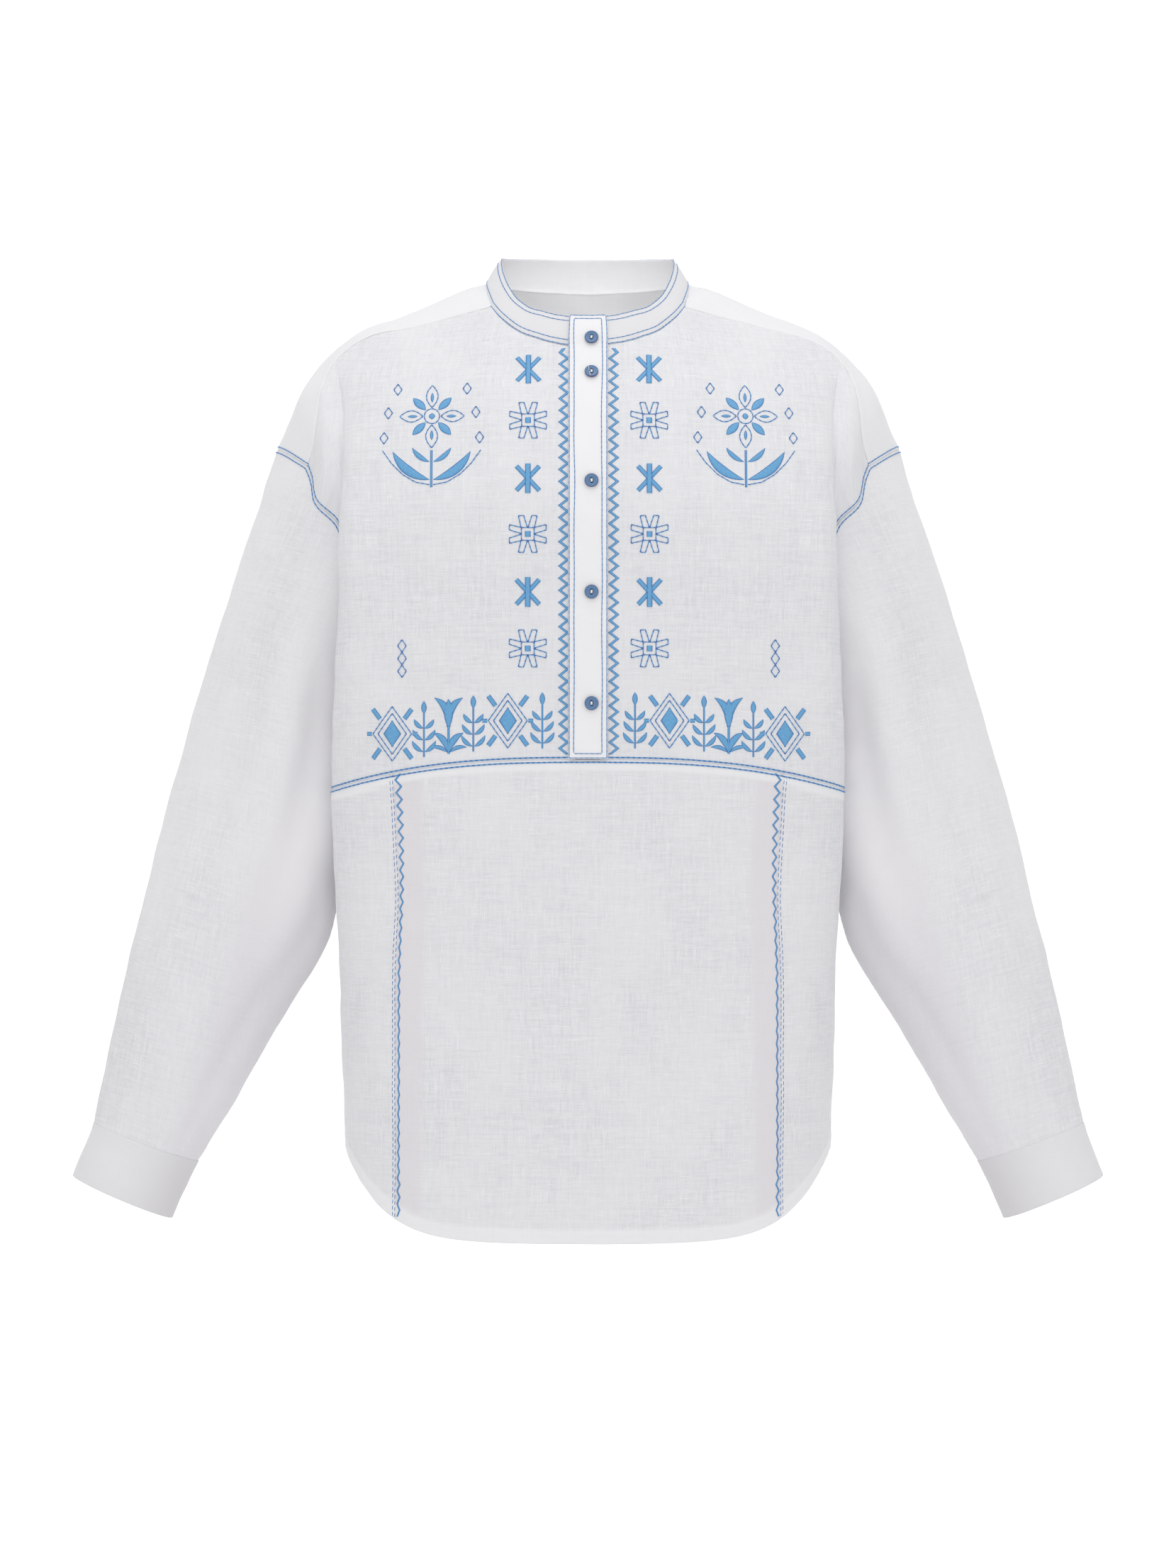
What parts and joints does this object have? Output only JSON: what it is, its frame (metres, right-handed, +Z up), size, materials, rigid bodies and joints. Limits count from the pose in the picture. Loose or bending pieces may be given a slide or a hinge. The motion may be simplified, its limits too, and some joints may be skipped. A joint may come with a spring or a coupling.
{
  "type": "vyshyvanka shirt",
  "caption": "Worn linen shirt with a stand collar, half placket, dropped sleeves, cuffs and a curved hem, embroidered in blue.",
  "frame": {"origin": "middle of the neck at the height of the shoulders, where the wearer holds the shirt up", "axes": "+X to the wearer's left, +Y to the back, +Z up"},
  "size_m": [0.8132, 0.2335, 0.7736],
  "materials": {
    "linen": "plain weave, one layer",
    "linen_double": "plain weave, two layers",
    "button": "satin",
    "thread_light": "satin stitch thread",
    "thread_dark": "back stitch thread",
    "thread_white": "sewing thread"
  },
  "bodies": {
    "root": {"front_upper_left": "linen", "front_upper_right": "linen", "front_lower_centre": "linen", "front_lower_side_left": "linen", "front_lower_side_right": "linen", "back": "linen", "yoke": "linen_double", "sleeve_left": "linen", "sleeve_right": "linen", "cuff_left": "linen_double", "cuff_right": "linen_double", "collar_band": "linen_double", "placket": "linen_double", "placket_under": "linen_double", "button_1": "button", "button_2": "button", "button_3": "button", "button_4": "button", "button_5": "button", "cuff_button_left": "button", "cuff_button_right": "button"}
  },
  "joints": []
}
